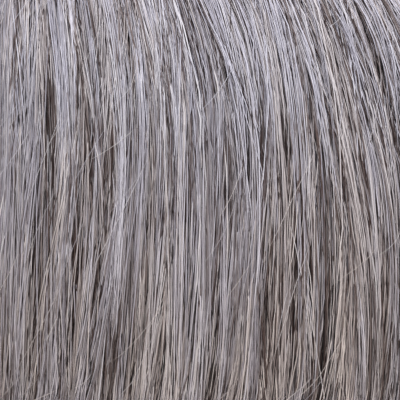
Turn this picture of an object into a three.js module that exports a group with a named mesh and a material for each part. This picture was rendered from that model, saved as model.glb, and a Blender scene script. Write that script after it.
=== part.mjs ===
// A short straight wig: a thin stretch cap that carries four fields of hair, a fringe, two sides and a back.
// The hair falls from a centre parting, is swept back over the sides and is cut as a jaw-length bob.
// Millimetres, +Z up. The face looks along -Y and the wearer's left is +X.
// The origin is the inside of the cap's crown, where the top of the head bears.

import * as THREE from "three";
import { mergeVertices } from "three/addons/utils/BufferGeometryUtils.js";

// Head that the cap fits, and the cap's wall
const headWidth = 154;
const headFront = 95; // from the ear line forward
const headBack = 97;
const crownHeight = 95; // from the crown down to the head's widest level
const crownRidge = 40; // half the length of the crown's flat top
const ridgeFall = 8; // how far the ends of that flat top lie below its middle
const capWall = 1.5;
const rootGap = 0.8; // from the cap to the roots' backing

// Hair over the cap
const crownLift = 12; // height of the hair over the crown
const partingGroove = 4; // depth of the parting below that
const partingWidth = 0.07; // how soon the groove fills, in levels
const sideFullness = 26; // hair beyond the head at the widest level
const fringeFullness = 15;
const backFullness = 27;
const hairHeight = 112; // from the top of the hair to its widest level
const levelLength = 100; // one level below the widest is this far down

// Locks
const lockSpread = 0.5; // how much wider or narrower than the mean a lock may be
const lockRise = { least: 0.2, most: 0.32 }; // a lock's crest above its valleys, as a share of its width
const lockPoint = { least: 3, most: 10 }; // how far its crest hangs below them
const lockSkew = 1.6; // over 1 leans each crest towards the next lock
const reliefFrom = 0.1; // level at which a lock begins to rise
const reliefFull = 0.7;
const tipShare = 0.04; // of the hair's depth, left at the tips
const tipTaper = 0.2; // least length of that thinning, in levels
const columnsPerLock = 3;
const fieldGap = 0.6; // between two fields, in degrees of azimuth

// How the strands run: azimuth is 0 at the face, 90 on the wearer's left, 180 at the back
const sweep = { side: 19, fore: 14.5 }; // degrees by which the roots lie ahead of the hanging ends
const sweepEnd = { side: 0.61, fore: 0.38 }; // level at which a strand has turned down
const jawDrift = 6.5; // degrees by which the ends turn back towards the face
const jawDriftEnd = 1.9; // level at which they hang plumb again

// The cap's edge, from the forehead past the ear to the nape, in levels
const capEdge = [
  { azimuth: 0, level: 0.76 },
  { azimuth: 45, level: 0.86 },
  { azimuth: 75, level: 1.24 },
  { azimuth: 95, level: 1.12 },
  { azimuth: 118, level: 1.36 },
  { azimuth: 180, level: 1.74 },
];

// Each field of hair: the azimuths between which it hangs, the level of its roots, the level of its cut
// at the first azimuth, halfway and at the last, and its number of locks
const fields = [
  { name: "fringe", from: -42, to: 42, root: 0.05, cut: [1.12, 1.02, 1.12], locks: 10 },
  { name: "side_left", from: 42, to: 118, root: 0.006, cut: [1.72, 2.06, 2.02], locks: 9 },
  { name: "back", from: 118, to: 242, root: 0.006, cut: [2.02, 1.94, 2.02], locks: 15 },
  { name: "side_right", from: 242, to: 318, root: 0.006, cut: [2.02, 2.06, 1.72], locks: 9 },
];
const levelStep = 0.125; // between two rows of a field
const tipRow = 0.08; // least length of its last rows, in levels
const tipRows = 2;
const capColumns = 48;
const capRows = 11;

const radians = THREE.MathUtils.degToRad;
const { lerp, smoothstep } = THREE.MathUtils;

// Forms: domes over an oval, with a short ridge along the top and sides that tuck in below the widest level.
const capInside = {
  halfWidth: headWidth / 2,
  front: headFront,
  back: headBack,
  ridge: crownRidge,
  top: 0,
  height: crownHeight,
  groove: 0,
  tuckSide: 0.1,
  tuckBack: 0.4,
};

// The same dome moved outwards by a wall or a gap.
function grown(form, by) {
  return {
    ...form,
    halfWidth: form.halfWidth + by,
    front: form.front + by,
    back: form.back + by,
    ridge: form.ridge + by,
    top: form.top + by,
    height: form.height + by,
  };
}

const capOutside = grown(capInside, capWall);
const rootBacking = grown(capOutside, rootGap);
const hairOutside = {
  halfWidth: headWidth / 2 + sideFullness,
  front: headFront + fringeFullness,
  back: headBack + backFullness,
  ridge: crownRidge + capWall,
  top: crownLift,
  height: hairHeight,
  groove: partingGroove,
  tuckSide: 0.13,
  tuckBack: 0.27,
};

// A point of a form. Level 0 is the parting, 1 the widest level, and each level more is levelLength down.
function pointOn(form, azimuth, level) {
  const across = Math.sin(azimuth);
  const along = Math.cos(azimuth);
  const turn = (Math.min(level, 1) * Math.PI) / 2;
  const below = Math.max(level - 1, 0);
  const depth = along > 0 ? form.front : form.back;
  const rearward = Math.max(-along, 0) ** 1.5;
  const tuck = 1 - lerp(form.tuckSide, form.tuckBack, rearward) * below ** 2;
  const halfLength = lerp(form.ridge, depth, Math.sin(turn));
  const fall =
    form.height * (1 - Math.cos(turn)) +
    ridgeFall * along ** 2 * (1 - Math.sin(turn)) +
    form.groove * Math.exp(-((level / partingWidth) ** 2)) +
    levelLength * below;
  return new THREE.Vector3(
    form.halfWidth * Math.sin(turn) * across * tuck,
    -halfLength * along * tuck,
    form.top - fall,
  );
}

// Azimuth of a strand at a level, from the azimuth at which it hangs: it is swept forward at the root,
// turns plumb and then drifts towards the jaw.
function strandAzimuth(hang, level) {
  const plumb = sweepEnd.side + sweepEnd.fore * Math.cos(hang);
  const unturned = Math.max(1 - level / plumb, 0) ** 2;
  const rootSweep = radians(sweep.side) * Math.sin(hang) + radians(sweep.fore) * Math.sin(2 * hang);
  const drift = radians(jawDrift) * Math.sin(hang) * smoothstep(level, plumb, jawDriftEnd);
  return hang - rootSweep * unturned - drift;
}

// Level of the cap's edge at an azimuth, alike on both sides of the head.
function edgeLevel(azimuth) {
  const degrees = THREE.MathUtils.radToDeg(azimuth);
  const turned = Math.abs(THREE.MathUtils.euclideanModulo(degrees + 180, 360) - 180);
  const next = capEdge.findIndex((row, i) => i > 0 && turned <= row.azimuth);
  const [low, high] = [capEdge[next - 1], capEdge[next]];
  return lerp(low.level, high.level, smoothstep(turned, low.azimuth, high.azimuth));
}

// A repeatable number between two bounds for each lock.
function chance(seed, least, most) {
  const wave = Math.sin(seed * 12.9898) * 43758.5453;
  return lerp(least, most, wave - Math.floor(wave));
}

// The shares of a field's width at which its locks meet, from 0 to 1.
function lockEdges(field) {
  const edges = [0];
  for (let lock = 0; lock < field.locks; lock++) {
    edges.push(edges[lock] + chance(lock + field.to, 1 - lockSpread, 1 + lockSpread));
  }
  return edges.map((edge) => edge / edges[field.locks]);
}

// A closed body between two grids of points, outer[column][row] and inner[column][row].
// A ring joins its last column to its first and closes along the ridge, so it has no walls but the rim's.
function bodyBetween(outer, inner, ring) {
  const points = [];
  const put = (a, b, c, d) => points.push(a, b, c, a, c, d);
  const columns = outer.length - (ring ? 0 : 1);
  const rows = outer[0].length - 1;
  for (let i = 0; i < columns; i++) {
    const j = (i + 1) % outer.length;
    for (let k = 0; k < rows; k++) {
      put(outer[i][k], outer[i][k + 1], outer[j][k + 1], outer[j][k]);
      put(inner[i][k], inner[j][k], inner[j][k + 1], inner[i][k + 1]);
    }
    put(outer[i][rows], inner[i][rows], inner[j][rows], outer[j][rows]);
    if (!ring) put(outer[i][0], outer[j][0], inner[j][0], inner[i][0]);
  }
  for (let k = 0; k < rows && !ring; k++) {
    put(outer[0][k], inner[0][k], inner[0][k + 1], outer[0][k + 1]);
    put(outer[columns][k], outer[columns][k + 1], inner[columns][k + 1], inner[columns][k]);
  }
  return mergeVertices(new THREE.BufferGeometry().setFromPoints(points), 1e-3);
}

// The stretch cap: one thin wall from the crown to the hairline.
function capGeometry() {
  const wall = (form) =>
    Array.from({ length: capColumns }, (_, column) => {
      const azimuth = (column / capColumns) * 2 * Math.PI;
      const edge = edgeLevel(azimuth);
      const levels = Array.from({ length: capRows + 1 }, (__, row) => (edge * row) / capRows);
      return levels.map((level) => pointOn(form, azimuth, level));
    });
  return bodyBetween(wall(capOutside), wall(capInside), true);
}

// One column of a lock, from root to tip: the outside of the lock, and the side on the cap.
function lockColumn(field, lock, phase) {
  const edges = lockEdges(field);
  const share = lerp(edges[lock], edges[lock + 1], phase);
  const hang = radians(lerp(field.from + fieldGap / 2, field.to - fieldGap / 2, share));
  const crest = Math.sin(Math.PI * phase ** lockSkew);
  const width = radians(field.to - field.from) * (edges[lock + 1] - edges[lock]) * hairOutside.halfWidth;
  const relief = crest * width * chance(lock + field.from, lockRise.least, lockRise.most);
  const point = crest * chance(lock - field.from, lockPoint.least, lockPoint.most);
  const [first, half, last] = field.cut;
  const cut = lerp(lerp(first, last, share), half, 4 * share * (1 - share));
  const tip = cut + point / levelLength;
  const steps = Math.floor((Math.min(first, half, last) - tipRow) / levelStep);
  const levels = [field.root];
  for (let step = 1; step <= steps; step++) levels.push(step * levelStep);
  for (let row = 1; row <= tipRows; row++) levels.push(lerp(steps * levelStep, tip, row / tipRows));
  const outer = [];
  const inner = [];
  for (const level of levels) {
    const azimuth = strandAzimuth(hang, level);
    const ground = pointOn(rootBacking, azimuth, level);
    const skin = pointOn(hairOutside, azimuth, level);
    const outward = skin.clone().sub(ground).normalize();
    skin.addScaledVector(outward, relief * smoothstep(level, reliefFrom, reliefFull));
    const thinFrom = Math.min(edgeLevel(azimuth), cut - tipTaper);
    const kept = lerp(1, tipShare, smoothstep(level, thinFrom, tip));
    outer.push(skin);
    inner.push(skin.clone().lerp(ground, kept));
  }
  return { outer, inner };
}

// A field of hair: its locks side by side on one backing.
function fieldGeometry(field) {
  const columns = [];
  for (let lock = 0; lock < field.locks; lock++) {
    for (let i = 0; i < columnsPerLock; i++) columns.push(lockColumn(field, lock, i / columnsPerLock));
  }
  columns.push(lockColumn(field, field.locks - 1, 1));
  return bodyBetween(
    columns.map((column) => column.outer),
    columns.map((column) => column.inner),
    false,
  );
}

const capLace = new THREE.MeshStandardMaterial({ color: 0xb9aea4, roughness: 0.9, metalness: 0 });
const greyFibre = new THREE.MeshStandardMaterial({ color: 0x9a959a, roughness: 0.45, metalness: 0 });

function named(name, geometry, material) {
  const mesh = new THREE.Mesh(geometry, material);
  mesh.name = name;
  return mesh;
}

const wig = new THREE.Group();
wig.add(named("cap", capGeometry(), capLace));
for (const field of fields) wig.add(named(field.name, fieldGeometry(field), greyFibre));

export default wig;
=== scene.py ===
# Dresses a short straight wig: salt-and-pepper fibre hair in four fields on a stretch net cap.
# Lengths are millimetres and angles degrees until a mesh is made.
# The face looks along -Y and the wearer's left is +X.
import bmesh
import bpy
import numpy as np
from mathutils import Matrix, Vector


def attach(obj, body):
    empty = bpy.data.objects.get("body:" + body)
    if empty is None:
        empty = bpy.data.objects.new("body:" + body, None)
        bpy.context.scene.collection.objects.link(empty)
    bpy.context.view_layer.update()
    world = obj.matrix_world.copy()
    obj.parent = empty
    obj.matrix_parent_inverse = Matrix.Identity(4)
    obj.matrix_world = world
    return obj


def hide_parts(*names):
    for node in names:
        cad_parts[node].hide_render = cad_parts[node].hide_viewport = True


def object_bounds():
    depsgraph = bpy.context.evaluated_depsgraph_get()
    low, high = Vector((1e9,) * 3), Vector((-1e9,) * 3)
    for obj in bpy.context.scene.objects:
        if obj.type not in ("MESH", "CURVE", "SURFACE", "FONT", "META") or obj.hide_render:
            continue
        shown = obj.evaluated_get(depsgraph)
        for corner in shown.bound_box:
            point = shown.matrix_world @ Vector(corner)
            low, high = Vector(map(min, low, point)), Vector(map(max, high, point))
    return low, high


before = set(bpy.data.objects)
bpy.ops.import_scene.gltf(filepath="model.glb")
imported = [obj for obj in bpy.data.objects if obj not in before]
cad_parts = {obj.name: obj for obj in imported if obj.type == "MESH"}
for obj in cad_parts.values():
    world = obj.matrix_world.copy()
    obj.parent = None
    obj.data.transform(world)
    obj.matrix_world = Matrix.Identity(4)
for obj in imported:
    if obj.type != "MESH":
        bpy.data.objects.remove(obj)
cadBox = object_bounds()
mm = 0.001
print("frame loaded:", sorted(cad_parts))

# the head and the hair over it, as the solids have them
capForm = {"halfWidth": 77, "front": 95, "back": 97, "ridge": 40, "top": 0, "height": 95,
           "groove": 0, "tuckSide": 0.1, "tuckBack": 0.4}
hairForm = {"halfWidth": 103, "front": 110, "back": 124, "ridge": 41.5, "top": 12, "height": 112,
            "groove": 4, "tuckSide": 0.13, "tuckBack": 0.27}
flow = {"ridgeFall": 8, "partingWidth": 0.07, "levelLength": 100, "tuckPower": 1.5,
        "sweepSide": 19, "sweepFore": 14.5,        # how far the roots lie ahead of the hanging ends
        "plumbSide": 0.61, "plumbFore": 0.38,      # level at which a strand has turned down
        "jawDrift": 6.5, "jawDriftEnd": 1.9,       # the ends turn back towards the face
        "rootGap": 2.3,                            # from the head to the roots, past the cap's wall
        "sinkMost": 0.85,                          # of the hair's depth, so that no strand meets the cap
        "firstLevel": 0.004}                       # as near to the parting as loose strands begin
capEdge = {"azimuth": [0, 45, 75, 95, 118, 180], "level": [0.76, 0.86, 1.24, 1.12, 1.36, 1.74]}
lockShape = {"spread": 0.5, "skew": 1.3, "from": 0.1, "full": 0.7,
             "rise": (0.07, 0.13), "point": (1.5, 5)}    # combed a little flatter than the solids' locks
fields = {
    "fringe": {"from": -42, "to": 42, "root": 0.05, "cut": (1.12, 1.02, 1.12), "locks": 10},
    "side_left": {"from": 42, "to": 118, "root": 0.006, "cut": (1.72, 2.06, 2.02), "locks": 9},
    "back": {"from": 118, "to": 242, "root": 0.006, "cut": (2.02, 1.94, 2.02), "locks": 15},
    "side_right": {"from": 242, "to": 318, "root": 0.006, "cut": (2.02, 2.06, 1.72), "locks": 9},
}
levelSpan = 2.4    # a hair UV map's whole height, in levels


def smooth(x, low, high):
    # 0 below low, 1 above high, and between them a soft S, three squares less two cubes
    t = np.clip((x - low) / (high - low), 0, 1)
    return t * t * (3 - 2 * t)


def blend(a, b, t):
    # a straight line from a to b: a, plus the share t of the way to b
    return a + (b - a) * t


def unit(v):
    # each vector divided by its own length
    return v / np.maximum(np.linalg.norm(v, axis=-1, keepdims=True), 1e-9)


def grown(form, by):
    # the same dome moved outwards: each of its sizes and its top gain the same length
    sizes = ("halfWidth", "front", "back", "ridge", "top", "height")
    return {key: value + by * (key in sizes) for key, value in form.items()}


def formPoint(form, azimuth, level):
    # dome over an oval: a quarter ellipse from the ridge, level 0, to the widest level, 1, and then plumb,
    # tucked in by the square of how far below it lies
    across, along = np.sin(np.radians(azimuth)), np.cos(np.radians(azimuth))
    turn = np.minimum(level, 1) * np.pi / 2
    below = np.maximum(level - 1, 0)
    depth = np.where(along > 0, form["front"], form["back"])
    rearward = np.maximum(-along, 0) ** flow["tuckPower"]
    tuck = 1 - blend(form["tuckSide"], form["tuckBack"], rearward) * below ** 2
    halfLength = blend(form["ridge"], depth, np.sin(turn))
    fall = (form["height"] * (1 - np.cos(turn)) + flow["ridgeFall"] * along ** 2 * (1 - np.sin(turn))
            + form["groove"] * np.exp(-(level / flow["partingWidth"]) ** 2) + flow["levelLength"] * below)
    return np.stack([form["halfWidth"] * np.sin(turn) * across * tuck, -halfLength * along * tuck,
                     form["top"] - fall], -1)


def strandAzimuth(hang, level):
    # swept forward at the root by a square law, plumb at its own level, then drifting to the jaw
    across, along = np.sin(np.radians(hang)), np.cos(np.radians(hang))
    plumb = flow["plumbSide"] + flow["plumbFore"] * along
    unturned = np.maximum(1 - level / plumb, 0) ** 2
    sweep = flow["sweepSide"] * across + flow["sweepFore"] * 2 * across * along
    return hang - sweep * unturned - flow["jawDrift"] * across * smooth(level, plumb, flow["jawDriftEnd"])


def edgeLevel(azimuth):
    # the cap's edge: soft steps between the rows of its table, alike on both sides
    turned = np.abs((azimuth + 180) % 360 - 180)
    rows, levels = np.array(capEdge["azimuth"]), np.array(capEdge["level"])
    at = np.clip(np.searchsorted(rows, turned) - 1, 0, len(rows) - 2)
    return blend(levels[at], levels[at + 1], smooth(turned, rows[at], rows[at + 1]))


def chance(seed, least, most):
    # a repeatable number for each lock, the same as the solids': what a large sine leaves past a whole number
    wave = np.sin(seed * 12.9898) * 43758.5453
    return blend(least, most, wave - np.floor(wave))


def lockTable():
    # random widths, summed and scaled to fill each field; a row for each lock in order of azimuth: its two
    # ends, its rise and point in mm, and its field's ends and cut
    rows = []
    for field in fields.values():
        number = np.arange(field["locks"])
        widths = chance(number + field["to"], 1 - lockShape["spread"], 1 + lockShape["spread"])
        ends = blend(field["from"], field["to"], np.concatenate([[0], np.cumsum(widths)]) / widths.sum())
        wide = np.radians(np.diff(ends)) * hairForm["halfWidth"]
        rise = wide * chance(number + field["from"], *lockShape["rise"])
        point = chance(number - field["from"], *lockShape["point"])
        shared = np.tile([field["from"], field["to"], *field["cut"]], (field["locks"], 1))
        rows.append(np.column_stack([ends[:-1], ends[1:], rise, point, shared]))
    return np.concatenate(rows)


lockRows = lockTable()


def locksAt(hang):
    # a lock is a skewed wave across its width, from valley to valley: its rise in mm, and its cut's level
    turned = (hang - lockRows[0, 0]) % 360 + lockRows[0, 0]
    row = lockRows[np.searchsorted(lockRows[:, 0], turned, side="right") - 1]
    low, high, rise, point, start, end, first, half, last = np.moveaxis(row, -1, 0)
    crest = np.sin(np.pi * ((turned - low) / (high - low)) ** lockShape["skew"]) ** 2
    share = (turned - start) / (end - start)
    cut = blend(blend(first, last, share), half, 4 * share * (1 - share))
    return rise * crest, cut + point * crest / flow["levelLength"]


rootForm = grown(capForm, flow["rootGap"])
domeMm = hairForm["height"] * np.pi / 2    # length of the first level, along a quarter circle


def hairPlace(hang, level, depth):
    # a point in the hair: on its outer skin, raised by its lock and sunk by depth, but never into the cap
    azimuth = strandAzimuth(hang, level)
    ground, skin = formPoint(rootForm, azimuth, level), formPoint(hairForm, azimuth, level)
    thick = np.linalg.norm(skin - ground, axis=-1)
    rise = locksAt(hang)[0] * smooth(level, lockShape["from"], lockShape["full"])
    offset = np.maximum(rise - depth, -flow["sinkMost"] * thick)
    outward = unit(skin - ground)
    return skin + outward * offset[..., None], outward


def degreeMm(level):
    # length of one degree round the hair: the half-width, times the dome's sine up to the widest level
    return np.radians(1) * hairForm["halfWidth"] * np.sin(np.minimum(level, 1) * np.pi / 2)


# mesh making

def meshPiece(name, parts, materials):
    # joins parts, each a dictionary of points, uv, quads, tris and material numbers, into one mesh
    points, uvs, corners, starts, numbers = [], [], [], [], []
    base = corner = 0
    for part in parts:
        points.append(part["points"])
        uvs.append(part["uv"])
        for key, sides in (("quads", 4), ("tris", 3)):
            faces = part.get(key)
            if faces is None:
                continue
            corners.append((faces + base).ravel())
            starts.append(corner + sides * np.arange(len(faces)))
            numbers.append(np.broadcast_to(part["material"], len(faces)))
            corner += faces.size
        base += len(part["points"])
    points, uvs, corners = np.concatenate(points), np.concatenate(uvs), np.concatenate(corners)
    starts, numbers = np.concatenate(starts), np.concatenate(numbers)
    mesh = bpy.data.meshes.new(name)
    mesh.vertices.add(len(points))
    mesh.vertices.foreach_set("co", (points * mm).astype(np.float32).ravel())
    mesh.loops.add(len(corners))
    mesh.loops.foreach_set("vertex_index", corners.astype(np.int32))
    mesh.polygons.add(len(starts))
    mesh.polygons.foreach_set("loop_start", starts.astype(np.int32))
    mesh.polygons.foreach_set("material_index", numbers.astype(np.int32))
    mesh.uv_layers.new(name="weave").uv.foreach_set("vector", uvs[corners].astype(np.float32).ravel())
    for material in materials:
        mesh.materials.append(material)
    mesh.update(calc_edges=True)
    mesh.polygons.foreach_set("use_smooth", np.ones(len(starts), bool))
    piece = bpy.data.objects.new(name, mesh)
    bpy.context.scene.collection.objects.link(piece)
    mesh.calc_loop_triangles()
    print(name, len(mesh.loop_triangles), "triangles")
    return piece


def ranked(x):
    # each number's place in the order of all, from 0 to 1
    return np.argsort(np.argsort(x)) / len(x)


def patches(rng, hang, level, wide, tall):
    # soft random patches along the strands: random numbers on a grid of hang and level, blended between knots
    x, y = (hang - hang.min()) / wide, (level - level.min()) / tall
    i, j = x.astype(int), y.astype(int)
    grid = rng.normal(0, 1, (i.max() + 2, j.max() + 2))
    a, b = smooth(x - i, 0, 1), smooth(y - j, 0, 1)
    return blend(blend(grid[i, j], grid[i + 1, j], a), blend(grid[i, j + 1], grid[i + 1, j + 1], a), b)


tubeShape = {"sides": 3,               # so that an end is one triangle
             "widthPerRadius": 1.6,    # a three-sided tube as the eye takes it, turned at random
             "spinSeed": 5,
             "hueMost": 0.99, "toneMargin": 0.02,    # keep a tone inside its own hue's share of u
             "sideShift": 0.002}       # between the sides, so that no face is a line in the UV map


def tapered(step, root, tip, steep):
    # full width along the middle, with a straight slope down to a share of it at the root and at the tip
    return np.minimum(root + steep * step, 1) * np.minimum(tip + steep * (1 - step), 1)


def radii(rng, look, count, taper):
    # radius of each strand at each ring: the piece's strand width, a random share of it, and the taper
    return look["width"] / tubeShape["widthPerRadius"] * rng.uniform(*look["widthRange"], (count, 1)) * taper


def tubes(paths, outward, radius, tone, hue, level):
    # closed tubes along paths[strand, ring]: at each ring a triangle, the radius times a cosine sideways and
    # a sine outwards; u holds a strand's hue and tone, and v its level
    count, rings = radius.shape
    sides = tubeShape["sides"]
    along = unit(np.gradient(paths, axis=1))
    side = unit(np.cross(along, outward))
    lift = np.cross(side, along)
    spin = np.random.default_rng(tubeShape["spinSeed"]).uniform(0, 2 * np.pi, (count, 1, 1))
    turn = spin + np.arange(sides) * 2 * np.pi / sides
    ring = np.cos(turn)[..., None] * side[:, :, None] + np.sin(turn)[..., None] * lift[:, :, None]
    points = paths[:, :, None] + radius[:, :, None, None] * ring
    index = np.arange(count * rings * sides).reshape(count, rings, sides)
    after = np.roll(index, -1, axis=2)
    quads = np.stack([index[:, :-1], index[:, 1:], after[:, 1:], after[:, :-1]], -1).reshape(-1, 4)
    tris = np.concatenate([index[:, 0], index[:, -1, ::-1]])
    hues, margin = len(fibreLook["hues"]), tubeShape["toneMargin"]
    band = np.floor(np.clip(hue, 0, tubeShape["hueMost"]) * hues)
    u = (band + blend(margin, 1 - margin, tone))[:, None, None] / hues
    u = u + (np.arange(sides) - 1) * tubeShape["sideShift"]
    v = np.broadcast_to(level[:, :, None] / levelSpan, points.shape[:3])
    uv = np.stack([np.broadcast_to(u, v.shape), v], -1).reshape(-1, 2)
    return {"points": points.reshape(-1, 3), "uv": uv, "quads": quads, "tris": tris, "material": 0}


def sheetQuads(grid):
    # the four corners of each cell of a grid of point numbers
    return np.stack([grid[:-1, :-1], grid[:-1, 1:], grid[1:, 1:], grid[1:, :-1]], -1).reshape(-1, 4)


def wallQuads(a, b):
    # a strip of cells between two rows of point numbers
    return np.stack([a[:-1], b[:-1], b[1:], a[1:]], -1)


# materials

def toLinear(hexColour):
    # the sRGB curve undone: a straight line near black, and a power of 2.4 above it
    channel = np.array([int(hexColour[i:i + 2], 16) for i in (1, 3, 5)]) / 255
    linear = np.where(channel <= 0.04045, channel / 12.92, ((channel + 0.055) / 1.055) ** 2.4)
    return (*linear, 1.0)


def addNode(tree, kind, settings=None, inputs=None, stops=None):
    # one node: settings are its own properties, inputs are numbers or other nodes' outputs, stops fill a ramp
    node = tree.nodes.new(kind)
    for key, value in (settings or {}).items():
        setattr(node, key, value)
    for key, value in (inputs or {}).items():
        if isinstance(value, bpy.types.NodeSocket):
            tree.links.new(value, node.inputs[key])
        else:
            node.inputs[key].default_value = value
    for number, (place, colour) in enumerate(stops or []):
        ramp = node.color_ramp.elements
        stop = ramp[number] if number < len(ramp) else ramp.new(place)
        stop.position, stop.color = place, toLinear(colour)
    return node


def newMaterial(name):
    # a material with its tree and its one shader
    material = bpy.data.materials.new(name)
    material.use_nodes = True
    tree = material.node_tree
    return material, tree, tree.nodes["Principled BSDF"]


fibreLook = {
    "tones": [(0.0, "#180a09"), (0.12, "#402b28"), (0.22, "#73615d"), (0.32, "#998f8e"), (0.42, "#aea6a6"),
              (0.53, "#c1bbbe"), (0.64, "#cec9cc"), (0.76, "#ded9db"), (0.88, "#e7e2e3"), (1.0, "#eeeaea")],
    "hues": ["#fcf8f3", "#fbf9f7", "#f8f9fb", "#f4f6fe"],    # taupe to blue silver, each a share of u
    "tints": [(0.4, "#f3f2f7"), (0.6, "#eeeef2"), (0.9, "#f9f5f2"), (1.0, "#f8f3ee"),
              (2.0, "#cfc5be")],    # by level, cool above and warm towards the tips, and darker from level 1 down to the ends as painted shade on them
    "shadeContrast": ((0.4, 0.88), (1.1, 1.4)),    # level and power: painted shade, dark strands painted darker towards the tips
    "drift": 30, "driftDepth": 0.26,    # a strand's tone drifts over about this many mm, and in finer steps
    "driftDetail": 5.0, "driftGrain": 0.6, "driftRange": (0.25, 0.75),
    "driftAcross": 3600,    # so many steps across u that each strand drifts by itself
    "roughness": 0.44, "ior": 1.5,
}


def greyFibre():
    # silky modacrylic fibre, spun and then blended strand by strand: brown-black among taupe and silver,
    # with a soft gloss; the colour is the tone times the level's tint, the hue and the drift
    look = fibreLook
    material, tree, shader = newMaterial("modacrylic_fibre_grey_mix")
    place = addNode(tree, "ShaderNodeUVMap", {"uv_map": "weave"})
    axes = addNode(tree, "ShaderNodeSeparateXYZ", None, {0: place.outputs[0]})
    count = len(look["hues"])
    spread = addNode(tree, "ShaderNodeMath", {"operation": "MULTIPLY"}, {0: axes.outputs[0], 1: count})
    tone = addNode(tree, "ShaderNodeMath", {"operation": "FRACT"}, {0: spread.outputs[0]})
    tones = addNode(tree, "ShaderNodeValToRGB", None, {0: tone.outputs[0]}, look["tones"])
    hueStops = [(number / count, colour) for number, colour in enumerate(look["hues"])]
    hues = addNode(tree, "ShaderNodeValToRGB", None, {0: axes.outputs[0]}, hueStops)
    hues.color_ramp.interpolation = "CONSTANT"
    driftScale = levelSpan * flow["levelLength"] / look["drift"]
    stretch = addNode(tree, "ShaderNodeMapping", None, {
        0: place.outputs[0], "Scale": (look["driftAcross"], driftScale, 1)})
    drift = addNode(tree, "ShaderNodeTexNoise", {"noise_dimensions": "2D"}, {
        "Vector": stretch.outputs[0], "Scale": 1.0, "Detail": look["driftDetail"],
        "Roughness": look["driftGrain"]})
    gain = addNode(tree, "ShaderNodeMapRange", None, {
        "Value": drift.outputs[0], "From Min": look["driftRange"][0], "From Max": look["driftRange"][1],
        "To Min": 1 - look["driftDepth"], "To Max": 1 + look["driftDepth"]})
    tintStops = [(level / levelSpan, colour) for level, colour in look["tints"]]
    tint = addNode(tree, "ShaderNodeValToRGB", None, {0: axes.outputs[1]}, tintStops)
    # painted shade: a power that grows with the level darkens the dark strands towards the tips
    (upper, least), (lower, most) = look["shadeContrast"]
    power = addNode(tree, "ShaderNodeMapRange", None, {
        "Value": axes.outputs[1], "From Min": upper / levelSpan, "From Max": lower / levelSpan,
        "To Min": least, "To Max": most})
    deepened = addNode(tree, "ShaderNodeGamma", None, {0: tones.outputs[0], 1: power.outputs[0]})
    tinted = addNode(tree, "ShaderNodeMix", {"data_type": "RGBA", "blend_type": "MULTIPLY"},
                     {0: 1.0, 6: deepened.outputs[0], 7: tint.outputs[0]})
    hued = addNode(tree, "ShaderNodeMix", {"data_type": "RGBA", "blend_type": "MULTIPLY"},
                   {0: 1.0, 6: tinted.outputs[2], 7: hues.outputs[0]})
    shaded = addNode(tree, "ShaderNodeVectorMath", {"operation": "SCALE"},
                     {0: hued.outputs[2], "Scale": gain.outputs[0]})
    tree.links.new(shaded.outputs[0], shader.inputs["Base Color"])
    shader.inputs["Roughness"].default_value = look["roughness"]
    shader.inputs["IOR"].default_value = look["ior"]
    return material


# its tones lie darker than the strands': painted shade inside the hair
packedLook = {"tones": [(0.4, "#2c1e1c"), (0.62, "#958b8a")],
              "strandWidth": 1.4, "drift": 60,    # its coarsest lines, coarser than fibre so that they show
              "detail": 4.0, "grain": 0.7,        # which split into finer ones
              "bump": 0.6, "relief": 0.3, "roughness": 0.55,
              "sunk": 3.5, "short": 7, "ragged": 4,    # mm by which it ends above the cut, unevenly
              "tipFrom": 0.35, "tipShare": 0.05, "perLock": 16, "rows": 24,
              "inset": 0.2}                       # degrees from the field's ends


def packedFibre():
    # the imported hair below the surface: the same fibre as fine dark and grey lines, painted darker than the
    # strands as painted shade inside the hair
    look = packedLook
    material, tree, shader = newMaterial("modacrylic_fibre_packed")
    place = addNode(tree, "ShaderNodeUVMap", {"uv_map": "weave"})
    roundMm = 2 * np.pi * hairForm["halfWidth"]
    lengthMm = levelSpan * flow["levelLength"]
    stretch = addNode(tree, "ShaderNodeMapping", None, {
        0: place.outputs[0], "Scale": (roundMm / look["strandWidth"], lengthMm / look["drift"], 1)})
    lines = addNode(tree, "ShaderNodeTexNoise", {"noise_dimensions": "2D"}, {
        "Vector": stretch.outputs[0], "Scale": 1.0, "Detail": look["detail"], "Roughness": look["grain"]})
    tones = addNode(tree, "ShaderNodeValToRGB", None, {0: lines.outputs[0]}, look["tones"])
    bump = addNode(tree, "ShaderNodeBump", None, {
        "Strength": look["bump"], "Distance": look["relief"] * mm, "Height": lines.outputs[0]})
    tree.links.new(tones.outputs[0], shader.inputs["Base Color"])
    tree.links.new(bump.outputs[0], shader.inputs["Normal"])
    shader.inputs["Roughness"].default_value = look["roughness"]
    return material


def packedWalls(hang, level, tip):
    # the locks' form sunk a little outside; inside, the cap's dome, drawn out to that form towards the tips
    azimuth = strandAzimuth(hang, level)
    outer, outward = hairPlace(hang, level, packedLook["sunk"])
    thinFrom = np.minimum(edgeLevel(azimuth), tip - packedLook["tipFrom"])
    kept = blend(1, packedLook["tipShare"], smooth(level, thinFrom, tip))
    return outer, blend(outer, formPoint(rootForm, azimuth, level), kept[..., None]), outward


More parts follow.
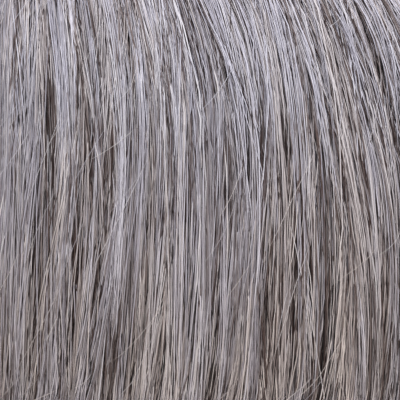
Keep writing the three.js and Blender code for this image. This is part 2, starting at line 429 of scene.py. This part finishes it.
def packedHair(field, seed):
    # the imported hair's two walls on one grid, from the roots to ragged tips, walled all round
    look = packedLook
    columns = field["locks"] * look["perLock"] + 1
    hang = np.linspace(field["from"] + look["inset"], field["to"] - look["inset"], columns)[:, None]
    ragged = np.random.default_rng(seed).uniform(-1, 1, (columns, 1)) * look["ragged"]
    tip = locksAt(hang)[1] - (look["short"] + ragged) / flow["levelLength"]
    level = blend(field["root"], tip, np.linspace(0, 1, look["rows"])[None])
    outer, inner, _ = packedWalls(hang, level, tip)
    uv = np.stack([np.broadcast_to(hang / 360, level.shape), level / levelSpan], -1).reshape(-1, 2)
    top = np.arange(level.size).reshape(level.shape)
    low = top + level.size
    ends = [wallQuads(top[:, -1], low[:, -1]), wallQuads(low[:, 0], top[:, 0])]
    sides = [wallQuads(top[0], low[0]), wallQuads(low[-1], top[-1])]
    quads = np.concatenate([sheetQuads(top), sheetQuads(low)[:, ::-1], *ends, *sides])
    return {"points": np.concatenate([outer.reshape(-1, 3), inner.reshape(-1, 3)]),
            "uv": np.concatenate([uv, uv]), "quads": quads, "material": 1}


tressShape = {"width": 3.4,    # degrees
              "wander": ((0.36, 4.6, 2.3), (0.32, 10.7, -3.1))}    # each in turns, over degrees and levels


def tresses(hang, level):
    # slim wisps side by side: a wave across the fall, 1 on a wisp and -1 between, whose phase wanders
    turns = hang / tressShape["width"]
    for much, wide, tall in tressShape["wander"]:
        turns = turns + much * np.sin(hang / wide + tall * level)
    return np.cos(2 * np.pi * turns)


def strands(look, seed):
    # wisps of strands: each keeps near its wisp's azimuth and depth, plus a tilt that grows with the level,
    # its wisp's slow wave and a small wobble of its own
    rng = np.random.default_rng(seed)
    wisps, rings, root = look["wisps"], look["rings"], look["root"]
    wispHang = blend(*look["hang"], (np.arange(wisps) + rng.random(wisps)) / wisps)
    wispDepth = blend(*look["depth"], rng.random(wisps) ** look["highBias"])
    wispTilt = look["tilt"] * np.clip(rng.standard_t(look["tiltTail"], wisps), *look["tiltRange"])
    wispWave = rng.normal(0, look["wave"], wisps)
    wispTone, wispHue = rng.normal(0, 1, (2, wisps))
    wispEnd = rng.normal(0, look["ragged"], wisps)
    wispPhase = rng.random(wisps)
    wispStart = np.where(rng.random(wisps) < look["parted"], root, blend(*look["start"], rng.random(wisps)))
    owner = np.repeat(np.arange(wisps), look["perWisp"])
    count = len(owner)
    wispSpread = look["spread"] * rng.uniform(*look["spreadRange"], wisps)
    hang0 = wispHang[owner] + wispSpread[owner] * rng.normal(0, 1, count)
    tip = locksAt(hang0)[1] + (wispEnd[owner] - rng.exponential(look["short"], count)) / flow["levelLength"]
    buried = (wispStart > root)[owner]                       # roots that come up from under other hair
    start = wispStart[owner] + np.where(buried, *look["startRagged"]) * rng.random(count)
    step = np.linspace(0, 1, rings)
    inside = (step > 0) & (step < 1)
    place = step + rng.uniform(*look["ringShift"], (count, rings)) / rings * inside
    level = blend(start[:, None], tip[:, None], place ** look["warp"])
    wave = np.sin(2 * np.pi * (level * look["waves"] + wispPhase[owner][:, None]))
    wobble = np.sin(2 * np.pi * (level * look["wobbles"] + rng.random(count)[:, None]))
    tilt = wispTilt[owner] + rng.normal(0, look["stray"], count)
    hang = (hang0[:, None] + tilt[:, None] * (level - look["tiltFrom"]) + wispWave[owner][:, None] * wave
            + rng.normal(0, look["wobble"], count)[:, None] * wobble)
    # the tresses raise their crests; as painted shade, strands on a crest are painted lighter and those between
    # darker
    tress = tresses(hang0, look["tressLevel"])
    sunk = wispDepth[owner] + rng.normal(0, look["ownDepth"], count) - look["tressRise"] * tress
    sunk = np.maximum(sunk, -look["proud"])
    rise = 1 - smooth(level, start[:, None], start[:, None] + look["riseOver"])
    dip = look["dip"] * (step == 0)                          # the others come up out of the parting
    rootSunk = np.where(buried[:, None], look["rise"] * rise, dip)
    paths, outward = hairPlace(hang, level, sunk[:, None] + rootSunk)
    radius = radii(rng, look, count, tapered(step, *look["taper"]))
    lockTone, lockHue = (patches(rng, hang0, 0 * tip, look["patch"], 1) for _ in range(2))
    height = (sunk.mean() - sunk) / sunk.std()               # painted shade: strands that lie deeper are painted darker
    tone = ranked(look["wispTone"] * wispTone[owner] + look["heightShade"] * height
                  + look["lockTone"] * lockTone + look["tressShade"] * tress
                  + look["ownTone"] * rng.normal(0, 1, count))
    hue = ranked(wispHue[owner] + look["toneHue"] * wispTone[owner] + look["lockHue"] * lockHue
                 + look["tressHue"] * tress + rng.normal(0, look["ownHue"], count))
    return tubes(paths, outward, radius, tone, hue, level)


topLook = {"middle": 87, "reach": (50, 34), "level": (0.15, 1.25),    # reach in degrees, at levels 0 and 1
           "count": 7500, "rings": 5, "length": (20, 100), "shortBias": 2,
           "wisp": (1.1, 0.2), "lock": (5, 0.35), "gap": (0.6, 0.16),    # width in degrees, length in levels
           "gapFrom": (1.1, 1.8), "gapDepth": 1.4, "gapShade": 1.8,
           "lean": 4, "ownLean": 2.2, "bow": 0.5, "height": 0.45, "depth": 0.7, "ownDepth": 0.4, "proud": 0.3,
           "dive": 2.2, "endPower": 4, "thinEnds": 0.6, "width": 0.205, "widthRange": (0.7, 1.3),
           "wispTone": 0.5, "heightShade": 0.4, "ownTone": 0.85, "tressRise": 0.2, "tressShade": 0.27,
           "lockHue": 0.4, "wispHue": 0.5, "toneHue": 0.5, "tressHue": 0.5, "ownHue": 0.15}


def topStrands(look, seed):
    # stretches of strands that come up to the surface and go under again: each is an arc that dives at both
    # ends, and soft patches give the wisps their lean, height, tone and hue
    rng = np.random.default_rng(seed)
    count = look["count"]
    low, high = look["level"]
    level0 = np.sqrt(rng.uniform(low ** 2, high ** 2, count))
    hang0 = look["middle"] + blend(*look["reach"], level0) * rng.uniform(-1, 1, count)
    wispLean, wispHeight, wispTone, wispHue = (patches(rng, hang0, level0, *look["wisp"]) for _ in range(4))
    lean = np.radians(look["lean"] * wispLean + rng.normal(0, look["ownLean"], count))
    half = blend(*look["length"], rng.random(count) ** look["shortBias"])[:, None] / 2
    step = np.linspace(-1, 1, look["rings"])[None]
    ends = step ** look["endPower"]                          # 1 at both ends, and next to 0 along the middle
    across = half * np.sin(lean)[:, None] * step + rng.normal(0, look["bow"], count)[:, None] * step ** 2
    hang = hang0[:, None] + across / degreeMm(level0)[:, None]
    level = np.maximum(level0[:, None] + half * step / domeMm, flow["firstLevel"])
    gap = smooth(patches(rng, hang0, level0, *look["gap"]), *look["gapFrom"])    # partings between wisps, sunk and painted darker: painted shade
    # the tresses raise their crests; as painted shade, strands on a crest are painted lighter and those between
    # darker
    tress = tresses(hang0, level0)
    sunk = look["depth"] - look["height"] * wispHeight + rng.normal(0, look["ownDepth"], count)
    sunk = sunk + look["gapDepth"] * gap - look["tressRise"] * tress
    sunk = np.maximum(sunk, -look["proud"])
    paths, outward = hairPlace(hang, level, sunk[:, None] + look["dive"] * ends)
    radius = radii(rng, look, count, 1 - look["thinEnds"] * ends)
    lockHue = patches(rng, hang0, level0, *look["lock"])
    # painted shade: wisps lifted by their height patch are painted lighter, and sunk ones darker
    tone = ranked(look["wispTone"] * wispTone + look["heightShade"] * wispHeight + look["tressShade"] * tress
                  + look["ownTone"] * rng.normal(0, 1, count) - look["gapShade"] * gap)
    hue = ranked(look["lockHue"] * lockHue + look["wispHue"] * wispHue + look["toneHue"] * wispTone
                 + look["tressHue"] * tress + rng.normal(0, look["ownHue"], count))
    return tubes(paths, outward, radius, tone, hue, level)


wispLook = {"middle": 87, "reach": 38, "level": (0.35, 1.2), "light": 24, "dark": 4, "perWisp": 11,
            "rings": 9, "length": (60, 150), "share": (0.5, 1), "shift": 0.5,    # a strand on its wisp
            "lean": 2.5, "ownLean": 0.6, "bow": 1.5, "spread": 0.9, "drawIn": 0.3,
            "narrowAt": 0.25,    # level above which wisps close up towards the parting
            "depth": (-0.2, 0.6), "dive": 2.0, "endPower": 4, "thinEnds": 0.6,
            "width": 0.2, "widthRange": (0.7, 1.3),
            "lightTone": (0.56, 0.82), "darkTone": (0.12, 0.3), "ownTone": 0.12,
            "lightHue": 0.8, "darkHue": 0.2, "ownHue": 0.1}


def longWisps(look, seed):
    # slim wisps over the rest: strands side by side along a bowed line, each shifted along it, so that the
    # wisp thins out at both ends; the light ones are blue silver and the dark ones taupe
    rng = np.random.default_rng(seed)
    wisps = look["light"] + look["dark"]
    owner = np.repeat(np.arange(wisps), look["perWisp"])
    count = len(owner)
    place = rng.permutation(wisps) + rng.random(wisps)
    hang0 = (look["middle"] + look["reach"] * (2 * place / wisps - 1))[owner]
    level0 = rng.uniform(*look["level"], wisps)[owner]
    wispHalf = rng.uniform(*look["length"], wisps)[owner] / 2
    lean = np.radians(rng.normal(0, look["lean"], wisps)[owner] + rng.normal(0, look["ownLean"], count))
    bow = rng.normal(0, look["bow"], wisps)[owner]
    step = np.linspace(-1, 1, look["rings"])[None]
    ends = step ** look["endPower"]
    share = look["shift"] * rng.uniform(-1, 1, (count, 1)) + rng.uniform(*look["share"], (count, 1)) * step
    along = wispHalf[:, None] * share
    own = rng.normal(0, look["spread"], (count, 1)) * (1 - look["drawIn"] * share ** 2)
    across = np.sin(lean)[:, None] * along + bow[:, None] * share ** 2 + own
    level = np.maximum(level0[:, None] + along / domeMm, flow["firstLevel"])
    hang = hang0[:, None] + across / degreeMm(np.maximum(level, look["narrowAt"]))
    sunk = rng.uniform(*look["depth"], (count, 1)) + look["dive"] * ends
    paths, outward = hairPlace(hang, level, sunk)
    radius = radii(rng, look, count, 1 - look["thinEnds"] * ends)
    light = np.arange(wisps) < look["light"]
    wispTone = np.where(light, rng.uniform(*look["lightTone"], wisps), rng.uniform(*look["darkTone"], wisps))
    tone = np.clip(wispTone[owner] + rng.normal(0, look["ownTone"], count), 0, 1)
    hue = np.where(light, look["lightHue"], look["darkHue"])[owner] + rng.normal(0, look["ownHue"], count)
    return tubes(paths, outward, radius, tone, hue, level)


underLook = {"count": 800,
             "endCount": 120, "endInset": 0.05, "endSpread": 0.5,    # beside the face, in degrees
             "rings": 7, "above": 0.12, "short": 4, "tilt": 2, "inside": (0.2, 1.2), "buried": 1.0,
             "width": 0.42, "widthRange": (0.75, 1.25), "taper": (1, 0.5, 4), "tone": (0.1, 0.95)}


def underStrands(look, seed):
    # strands that show from within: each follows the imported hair's inner wall from above the cap's hem to its
    # tip, and those beside the face lie anywhere in the wall's thickness
    rng = np.random.default_rng(seed)
    count = look["count"] + 2 * look["endCount"]
    inset = look["endInset"] + np.abs(rng.normal(0, look["endSpread"], (2, look["endCount"])))
    hang0 = np.concatenate([rng.uniform(fields["fringe"]["from"], fields["side_right"]["to"], look["count"]),
                            fields["side_left"]["from"] + inset[0], fields["side_right"]["to"] - inset[1]])
    through = np.where(np.arange(count) < look["count"], 1, rng.random(count))[:, None, None]
    cut = locksAt(hang0)[1][:, None]
    hem = edgeLevel(strandAzimuth(hang0, 1.0))[:, None]
    tip = cut - rng.exponential(look["short"], (count, 1)) / flow["levelLength"]
    step = np.linspace(0, 1, look["rings"])[None]
    level = blend(hem - look["above"], tip, step)
    hang = hang0[:, None] + look["tilt"] * rng.normal(0, 1, (count, 1)) * (level - cut)
    outer, inner, outward = packedWalls(hang, level, cut - packedLook["short"] / flow["levelLength"])
    inside = blend(*look["inside"], rng.random((count, 1)))
    proud = blend(-look["buried"], inside, smooth(level, hem, hem + look["above"]))[..., None]
    paths = blend(outer, inner, through) - outward * proud * (through == 1)
    radius = radii(rng, look, count, tapered(step, *look["taper"]))
    return tubes(paths, outward, radius, rng.uniform(*look["tone"], count), rng.random(count), level)


def strays(look, seed):
    # single light hairs: a slanting line across the fall, bowed by a square and lifted off it by half a sine
    rng = np.random.default_rng(seed)
    count = look["count"]
    slant = np.radians(rng.normal(*look["slant"], count))
    length = rng.uniform(*look["length"], count)
    bow = rng.normal(0, look["bow"], count)
    step = np.linspace(0, 1, look["rings"])[None]
    hang0 = rng.uniform(*look["hang"], count)
    level0 = rng.uniform(*look["level"], count)
    across = (length * np.sin(slant))[:, None] * step / degreeMm(1)
    hang = hang0[:, None] + across + bow[:, None] * step ** 2
    level = level0[:, None] + (length * np.cos(slant))[:, None] * step / look["levelMm"]
    lift = np.minimum(rng.exponential(look["lift"], count), look["liftMost"])[:, None]
    lift = look["liftLeast"] + lift * np.sin(np.pi * step * rng.uniform(*look["arch"], count)[:, None])
    paths, outward = hairPlace(hang, level, -lift)
    radius = radii(rng, look, count, tapered(step, *look["taper"]))
    return tubes(paths, outward, radius, rng.uniform(*look["tone"], count), rng.random(count), level)


hairLook = {
    "fringe": {"hang": (-42.5, 42.5), "wisps": 230, "perWisp": 7, "rings": 11, "short": 4,
               "parted": 0.7, "start": (0.06, 0.3), "rise": 3, "depth": (0.0, 4.0), "width": 0.3},
    "side_left": {"hang": (41.5, 118.5), "wisps": 290, "perWisp": 7, "rings": 15, "short": 3,
                  "parted": 0.6, "start": (0.04, 0.6), "rise": 6, "depth": (0.6, 4.6), "width": 0.26},
    "back": {"hang": (117.5, 242.5), "wisps": 285, "perWisp": 7, "rings": 15, "short": 3,
             "parted": 0.5, "start": (0.04, 0.7), "rise": 6, "depth": (0.0, 4.5), "width": 0.34},
    "side_right": {"hang": (241.5, 318.5), "wisps": 290, "perWisp": 7, "rings": 15, "short": 3,
                   "parted": 0.6, "start": (0.04, 0.6), "rise": 6, "depth": (0.0, 4.5), "width": 0.27},
}
# what every field shares; the roots lie on either side of the parting, so that a few cross it
fallLook = {"root": -0.014, "dip": 2, "startRagged": (0.06, 0.03),    # of buried roots, and of the others
            "riseOver": 0.22, "highBias": 1.3, "ownDepth": 0.35, "proud": 0.3,    # proud of the locks at most
            "tilt": 1.6, "tiltTail": 3, "tiltRange": (-3.5, 3.5), "tiltFrom": 0.6, "stray": 1.0,
            "wave": 0.5, "waves": 1.1, "wobble": 0.12, "wobbles": 2.3,    # degrees, and turns to a level
            "spread": 0.3, "spreadRange": (0.4, 1.6), "ragged": 2, "patch": 4,
            "warp": 1.25, "ringShift": (-0.35, 0.35), "widthRange": (0.75, 1.25), "taper": (0.55, 0.5, 6),
            "wispTone": 0.4, "heightShade": 0.4, "lockTone": 0.1, "ownTone": 0.8,
            "toneHue": 0.5, "lockHue": 0.4, "tressHue": 0.5, "ownHue": 0.3,
            "tressLevel": 0.8, "tressRise": 0.36, "tressShade": 0.19}
strayLook = {
    "fringe": {"hang": (-40, 40), "level": (0.1, 0.9), "slant": (0, 25)},
    "side_left": {"hang": (50, 118), "level": (0.1, 1.7), "slant": (-32, 9), "count": 150},
    "back": {"hang": (118, 242), "level": (0.1, 1.6), "slant": (0, 25)},
    "side_right": {"hang": (242, 316), "level": (0.1, 1.7), "slant": (30, 15)},
}
strayShape = {"count": 60, "rings": 8, "length": (5, 24), "levelMm": 130, "bow": 1.5,
              "lift": 0.9, "liftLeast": 0.2, "liftMost": 4, "arch": (0.5, 1),
              "width": 0.1, "widthRange": (0.8, 1.2), "taper": (0.4, 0.2, 5), "tone": (0.6, 1.0)}
seeds = {"strands": 113, "packed": 91, "strays": 51, "top": 31, "wisps": 17, "under": 71}

fibre, packed = greyFibre(), packedFibre()
print("fibre materials made")
for number, (name, field) in enumerate(fields.items()):
    parts = [strands(fallLook | hairLook[name], seeds["strands"] + number),
             packedHair(field, seeds["packed"] + number),
             strays(strayShape | strayLook[name], seeds["strays"] + number)]
    piece = meshPiece(name + "_hair", parts, [fibre, packed])
    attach(piece, "root")
    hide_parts(name)
layers = {"side_left_top_hair": topStrands(topLook, seeds["top"]),
          "side_left_wisps": longWisps(wispLook, seeds["wisps"]),
          "under_hair": underStrands(underLook, seeds["under"])}
for name, layer in layers.items():
    piece = meshPiece(name, [layer], [fibre])
    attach(piece, "root")
print("hair made")


# cap

capLook = {"columns": 168, "rows": 44, "wall": 1.5,
           "hem": 8, "hemSlope": 1, "hemRise": 0.5, "hemInside": 0.6,    # the inside's share of the rise
           "cell": 2.4, "uneven": 0.35,    # the net's cells are drawn three times too coarse, to show
           "threadEdge": (0.1, 0.26),      # half a thread, as a share of a cell
           "thread": "#b5a698", "gap": "#5e534c", "netBump": 0.8, "netRelief": 0.5, "netRoughness": 0.85,
           "rib": 1.2, "tape": "#a89a8d", "tapeShadow": "#8f8277",
           "tapeBump": 0.6, "tapeRelief": 0.3, "tapeRoughness": 0.8}


def netCap():
    # a closed ring: the head's dome inside, the same dome a wall further out, a little thicker along the hem
    look = capLook
    azimuth = np.linspace(0, 360, look["columns"] + 1)[:, None]
    edge = edgeLevel(azimuth)
    level = edge * np.linspace(0, 1, look["rows"])[None]
    toEdge = (edge - level) * flow["levelLength"]
    slope = smooth(toEdge, look["hem"] - look["hemSlope"], look["hem"] + look["hemSlope"])
    swell = look["hemRise"] * (1 - slope)[..., None]
    inside = formPoint(capForm, azimuth, level)
    outside = formPoint(grown(capForm, look["wall"]), azimuth, level)
    outward = unit(outside - inside)
    inner, outer = inside - outward * swell * look["hemInside"], outside + outward * swell
    uv = np.stack(np.broadcast_arrays(azimuth / 360, level / levelSpan), -1).reshape(-1, 2)
    top = np.arange(level.size).reshape(level.shape)
    low = top + level.size
    sheet = sheetQuads(top)
    rim = wallQuads(top[:, -1], low[:, -1])
    hemmed = (toEdge < look["hem"]).ravel()[sheet].all(1)
    return {"points": np.concatenate([outer.reshape(-1, 3), inner.reshape(-1, 3)]),
            "uv": np.concatenate([uv, uv]), "quads": np.concatenate([sheet, sheetQuads(low)[:, ::-1], rim]),
            "material": np.concatenate([hemmed, hemmed, np.ones(len(rim), bool)]).astype(int)}


def netCloth():
    # warp-knitted polyester stretch net, beige: matt thread round small dark cells
    look = capLook
    material, tree, shader = newMaterial("polyester_stretch_net")
    place = addNode(tree, "ShaderNodeUVMap", {"uv_map": "weave"})
    roundMm = 2 * np.pi * capForm["halfWidth"]
    lengthMm = levelSpan * flow["levelLength"]
    cells = addNode(tree, "ShaderNodeMapping", None, {
        0: place.outputs[0], "Scale": (roundMm / look["cell"], lengthMm / look["cell"], 1)})
    net = addNode(tree, "ShaderNodeTexVoronoi", {"voronoi_dimensions": "2D", "feature": "DISTANCE_TO_EDGE"},
                  {"Vector": cells.outputs[0], "Scale": 1.0, "Randomness": look["uneven"]})
    full, none = look["threadEdge"]
    thread = addNode(tree, "ShaderNodeMapRange", {"interpolation_type": "SMOOTHSTEP"}, {
        "Value": net.outputs["Distance"], "From Min": full, "From Max": none, "To Min": 1.0, "To Max": 0.0})
    colour = addNode(tree, "ShaderNodeValToRGB", None, {0: thread.outputs[0]},
                     [(0.0, look["gap"]), (1.0, look["thread"])])
    bump = addNode(tree, "ShaderNodeBump", None, {
        "Strength": look["netBump"], "Distance": look["netRelief"] * mm, "Height": thread.outputs[0]})
    tree.links.new(colour.outputs[0], shader.inputs["Base Color"])
    tree.links.new(bump.outputs[0], shader.inputs["Normal"])
    shader.inputs["Roughness"].default_value = look["netRoughness"]
    return material


def hemTape():
    # woven elastic tape, ribbed across its length: a matt beige band with fine shadow lines
    look = capLook
    material, tree, shader = newMaterial("polyester_elastic_tape")
    place = addNode(tree, "ShaderNodeUVMap", {"uv_map": "weave"})
    roundMm = 2 * np.pi * capForm["halfWidth"]
    ribScale = roundMm / look["rib"] * 2 * np.pi / 20    # the texture draws 20 / (2 pi) bands in a unit
    ribs = addNode(tree, "ShaderNodeTexWave", {"wave_type": "BANDS", "bands_direction": "X"},
                   {"Vector": place.outputs[0], "Scale": ribScale, "Distortion": 0.0})
    colour = addNode(tree, "ShaderNodeMix", {"data_type": "RGBA"},
                     {0: ribs.outputs["Fac"], 6: toLinear(look["tapeShadow"]), 7: toLinear(look["tape"])})
    bump = addNode(tree, "ShaderNodeBump", None, {
        "Strength": look["tapeBump"], "Distance": look["tapeRelief"] * mm, "Height": ribs.outputs["Fac"]})
    tree.links.new(colour.outputs[2], shader.inputs["Base Color"])
    tree.links.new(bump.outputs[0], shader.inputs["Normal"])
    shader.inputs["Roughness"].default_value = look["tapeRoughness"]
    return material


cap = meshPiece("net_cap", [netCap()], [netCloth(), hemTape()])
welded = bmesh.new()
welded.from_mesh(cap.data)
bmesh.ops.remove_doubles(welded, verts=welded.verts, dist=1e-6)    # closes the ridge and the ring's seam
welded.to_mesh(cap.data)
welded.free()
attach(cap, "root")
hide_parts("cap")
print("cap made")


# floor, light and camera

def awayFrom(azimuth, elevation):
    # unit vector from the part towards an azimuth, round from the face, and an elevation
    a, e = np.radians(azimuth), np.radians(elevation)
    return Vector((np.sin(a) * np.cos(e), -np.cos(a) * np.cos(e), np.sin(e)))


studioLook = {"floor": "#e9e8e6", "floorRoughness": 0.7, "floorBelow": 30,
              "floorSize": 60,    # metres, so that its edge lies far off
              "sky": "#f2f3f7", "skyStrength": 0.76}


def studio():
    # one plane some way below the solids' lowest point, and a sky of one colour
    low = cadBox[0]
    bpy.ops.mesh.primitive_plane_add(size=studioLook["floorSize"],
                                     location=(0, 0, low[2] - studioLook["floorBelow"] * mm))
    floor = bpy.context.object
    floor.name = "floor"
    material, _, shader = newMaterial("painted_board")    # matt paint on a flat board: pale, with no gloss
    shader.inputs["Base Color"].default_value = toLinear(studioLook["floor"])
    shader.inputs["Roughness"].default_value = studioLook["floorRoughness"]
    floor.data.materials.append(material)
    world = bpy.data.worlds.new("studio")
    bpy.context.scene.world = world
    world.use_nodes = True
    sky = world.node_tree.nodes["Background"]
    sky.inputs["Color"].default_value = toLinear(studioLook["sky"])
    sky.inputs["Strength"].default_value = studioLook["skyStrength"]


lamps = {
    "key": {"azimuth": 75, "elevation": 70, "distance": 1.2, "size": 0.9, "power": 10.5, "colour": "#ffffff"},
    "fill": {"azimuth": 125, "elevation": 12, "distance": 1.4, "size": 1.0, "power": 2, "colour": "#fff6f0"},
    "rear": {"azimuth": 235, "elevation": 45, "distance": 1.4, "size": 1.0, "power": 9, "colour": "#ffffff"},
}
lampAim = (0, 0, -50)


def softBox(name, azimuth, elevation, distance, size, power, colour):
    # a square lamp at its distance from the aim, which it looks at
    away = awayFrom(azimuth, elevation)
    data = bpy.data.lights.new(name, "AREA")
    data.size, data.energy, data.color = size, power, toLinear(colour)[:3]
    light = bpy.data.objects.new(name, data)
    light.location = Vector(lampAim) * mm + away * distance
    light.rotation_mode = "QUATERNION"
    light.rotation_quaternion = (-away).to_track_quat("-Z", "Y")
    light.visible_camera = False
    bpy.context.scene.collection.objects.link(light)


view = {"azimuth": 84, "elevation": 10, "aim": (95, -10, -56), "field": 100, "lens": 600, "sensor": 36,
        "clipStart": 10}


def camera():
    # a patch of the wearer's left side, field mm wide at the aim: the distance is the field times the lens
    # over the sensor
    data = bpy.data.cameras.new("camera")
    data.lens, data.sensor_width, data.clip_start = view["lens"], view["sensor"], view["clipStart"] * mm
    eye = bpy.data.objects.new("camera", data)
    away = awayFrom(view["azimuth"], view["elevation"])
    distance = view["field"] * view["lens"] / view["sensor"]
    eye.location = (Vector(view["aim"]) + away * distance) * mm
    eye.rotation_mode = "QUATERNION"
    eye.rotation_quaternion = (-away).to_track_quat("-Z", "Y")
    bpy.context.scene.collection.objects.link(eye)
    bpy.context.scene.camera = eye


studio()
for name, settings in lamps.items():
    softBox(name, **settings)
camera()
bpy.context.scene.view_settings.view_transform = "Standard"
print("studio made")
